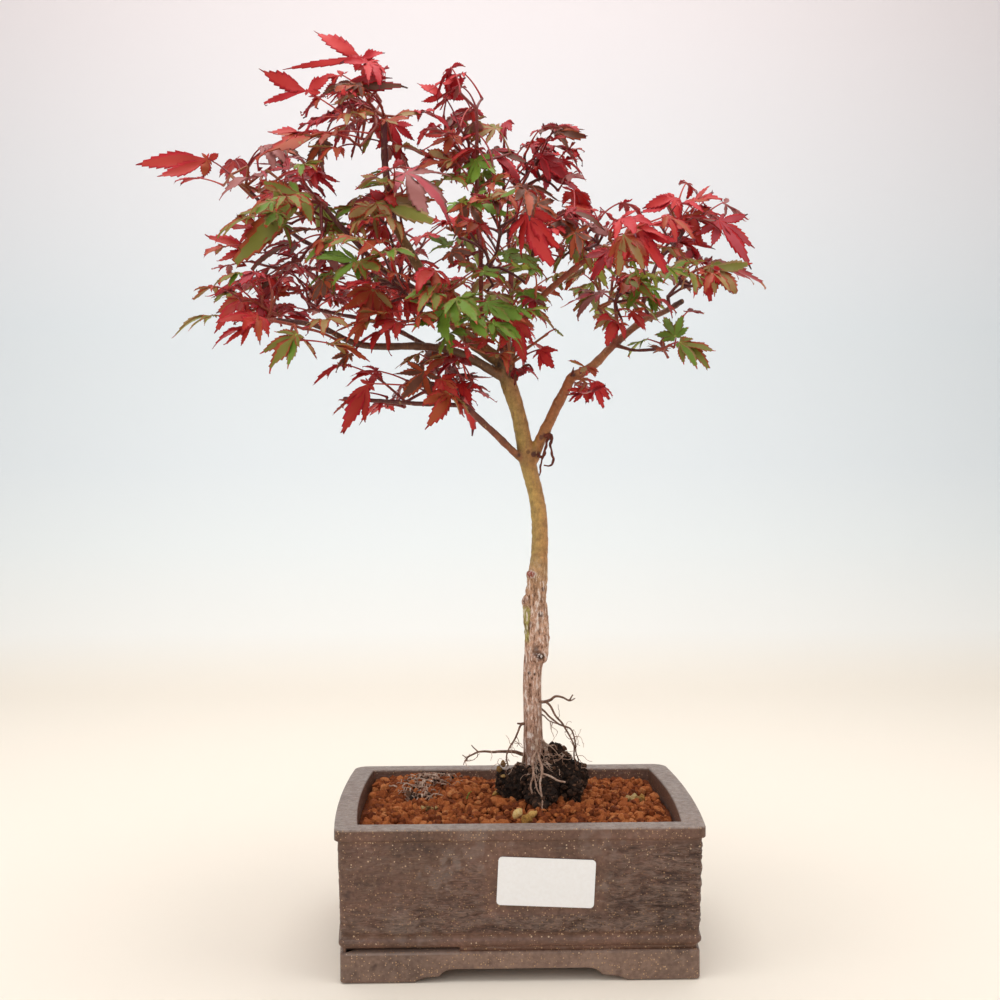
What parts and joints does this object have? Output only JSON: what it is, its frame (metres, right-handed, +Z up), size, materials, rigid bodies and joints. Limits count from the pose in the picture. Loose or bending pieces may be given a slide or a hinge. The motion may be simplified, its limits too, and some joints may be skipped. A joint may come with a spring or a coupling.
{
  "type": "potted maple bonsai",
  "caption": "Small red-leaved maple grown as a bonsai, with a forked trunk, bare roots and hanging masses of pointed leaves, in a rectangular pot on a footed tray.",
  "frame": {"origin": "on the ground under the middle of the whole plant and pot", "axes": "+Z up, -Y towards the pot's labelled front, +X to the right seen from the front"},
  "size_m": [0.372, 0.2006, 0.5047],
  "materials": {
    "pot_brown": "moulded brown body with fine tan flecks, a little worn, faint gloss",
    "soil_grains": "loose red-brown clay granules, dry and matt",
    "peat": "dark crumbly peat round the foot of the trunk",
    "label_white": "smooth white paper label",
    "bark": "grey-brown cracked bark below, smooth olive bark above",
    "young_bark": "smooth red-brown young bark",
    "crimson_leaves": "thin crimson leaves, satin",
    "red_leaves": "thin red leaves, satin",
    "pink_leaves": "thin pink-red leaves, satin",
    "mauve_leaves": "thin mauve leaves, satin",
    "orange_leaves": "thin orange-brown leaves, satin",
    "olive_leaves": "thin olive-brown leaves, satin",
    "green_leaves": "thin green leaves, satin"
  },
  "bodies": {
    "root": {"pot": "pot_brown", "foot_tray": "pot_brown", "soil": "soil_grains", "root_ball_peat": "peat", "label": "label_white", "trunk": "bark", "bough_right_lower": "bark", "bough_right_upper": "bark", "bough_left": "bark", "leader_lower": "bark", "bough_right_twig": "young_bark", "bough_right_spur": "young_bark", "bough_right_stub": "young_bark", "bough_left_low": "young_bark", "bough_left_low_outer": "young_bark", "bough_left_mid": "young_bark", "leader_upper": "young_bark", "bough_upper_left": "young_bark", "bough_far_left": "young_bark", "bough_front": "young_bark", "bough_centre": "young_bark", "bough_centre_back": "young_bark", "bough_upper_right": "young_bark", "bough_back_left": "young_bark", "bough_back": "young_bark", "bough_back_right": "young_bark", "foliage_top": "crimson_leaves", "foliage_middle": "crimson_leaves", "foliage_right": "crimson_leaves", "foliage_far_right_top": "crimson_leaves", "foliage_fork_shoot": "crimson_leaves", "foliage_far_left": "red_leaves", "foliage_left": "red_leaves", "foliage_left_mid": "red_leaves", "foliage_inner_right": "red_leaves", "foliage_back_left": "red_leaves", "foliage_upper_mid": "pink_leaves", "foliage_leader": "mauve_leaves", "foliage_far_right": "mauve_leaves", "foliage_inner_left": "orange_leaves", "foliage_low_left": "orange_leaves", "foliage_upper": "orange_leaves", "foliage_back": "orange_leaves", "foliage_upper_left": "olive_leaves", "foliage_upper_right": "olive_leaves", "foliage_back_right": "olive_leaves", "foliage_centre": "green_leaves", "foliage_right_low": "green_leaves", "foliage_right_mid": "green_leaves"}
  },
  "joints": []
}
